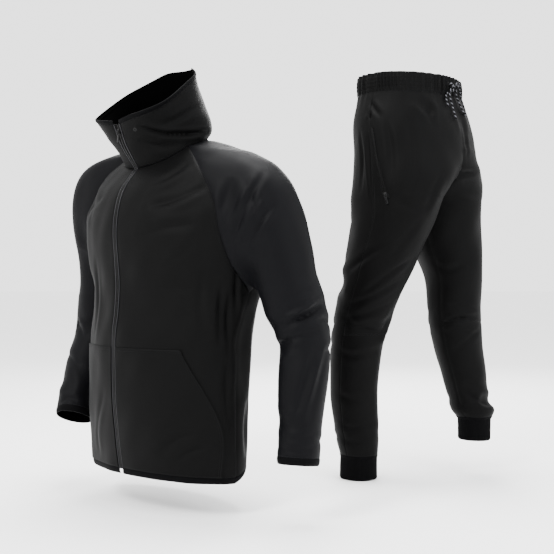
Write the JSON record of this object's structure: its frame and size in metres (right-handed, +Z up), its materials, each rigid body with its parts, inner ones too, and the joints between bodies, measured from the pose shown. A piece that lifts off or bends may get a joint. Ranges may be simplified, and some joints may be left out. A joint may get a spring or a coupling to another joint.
{
  "type": "tracksuit",
  "caption": "Black tracksuit, hollow as if worn: a zipped jacket with a standing hood and patch pockets, beside jogger trousers with a gathered waist, knitted cuffs and a drawstring",
  "frame": {"origin": "the middle of the jacket's neck, where the wearer's shoulders hold it", "axes": "+Z up; +X to the right as seen, from the jacket to the trousers; +Y away from the viewer"},
  "size_m": [1.0341, 0.6855, 0.9478],
  "materials": {
    "jersey": "smooth stretch polyester jersey",
    "rib": "knitted rib and binding",
    "tape": "woven zip tape",
    "zip_metal": "black lacquer",
    "marled_cord": "braided black and white cord"
  },
  "bodies": {
    "tracksuit": {"front_left": "jersey", "front_right": "jersey", "back": "jersey", "sleeve_left": "jersey", "sleeve_right": "jersey", "hood_left": "jersey", "hood_right": "jersey", "pocket_left": "jersey", "pocket_right": "jersey", "trouser_front_left": "jersey", "trouser_shin_left": "jersey", "trouser_back_left": "jersey", "trouser_front_right": "jersey", "trouser_shin_right": "jersey", "trouser_back_right": "jersey", "cuff_binding_left": "rib", "cuff_binding_right": "rib", "hood_rim": "rib", "hem_binding": "rib", "waistband": "rib", "cuff_left": "rib", "cuff_right": "rib", "zip_tape_left": "tape", "zip_tape_right": "tape", "pocket_zip_left": "tape", "pocket_zip_right": "tape", "main_zip_slider": "zip_metal", "pocket_zip_left_slider": "zip_metal", "pocket_zip_right_slider": "zip_metal", "hood_eyelet_left": "zip_metal", "hood_eyelet_right": "zip_metal", "waist_eyelet_left": "zip_metal", "waist_eyelet_right": "zip_metal", "drawstring_left": "marled_cord", "drawstring_right": "marled_cord"},
    "main_pull": {"main_zip_pull_tab": "zip_metal"},
    "left_pocket_pull": {"pocket_zip_left_pull_tab": "zip_metal"},
    "right_pocket_pull": {"pocket_zip_right_pull_tab": "zip_metal"}
  },
  "joints": [
    {"name": "main_pull_swing", "type": "hinge", "parent": "tracksuit", "child": "main_pull", "pos_m": [-0.07676, -0.07676, 0.02651], "axis": [-0.7071, 0.7071, 0], "range_deg": [-14, 150]},
    {"name": "left_pocket_pull_swing", "type": "hinge", "parent": "tracksuit", "child": "left_pocket_pull", "pos_m": [0.72869, 0.4, -0.08462], "axis": [0.502, -0.8016, 0.3248], "range_deg": [0, 150]},
    {"name": "right_pocket_pull_swing", "type": "hinge", "parent": "tracksuit", "child": "right_pocket_pull", "pos_m": [0.49303, 0.12143, -0.08549], "axis": [-0.8896, 0.3786, -0.2554], "range_deg": [0, 150]}
  ]
}
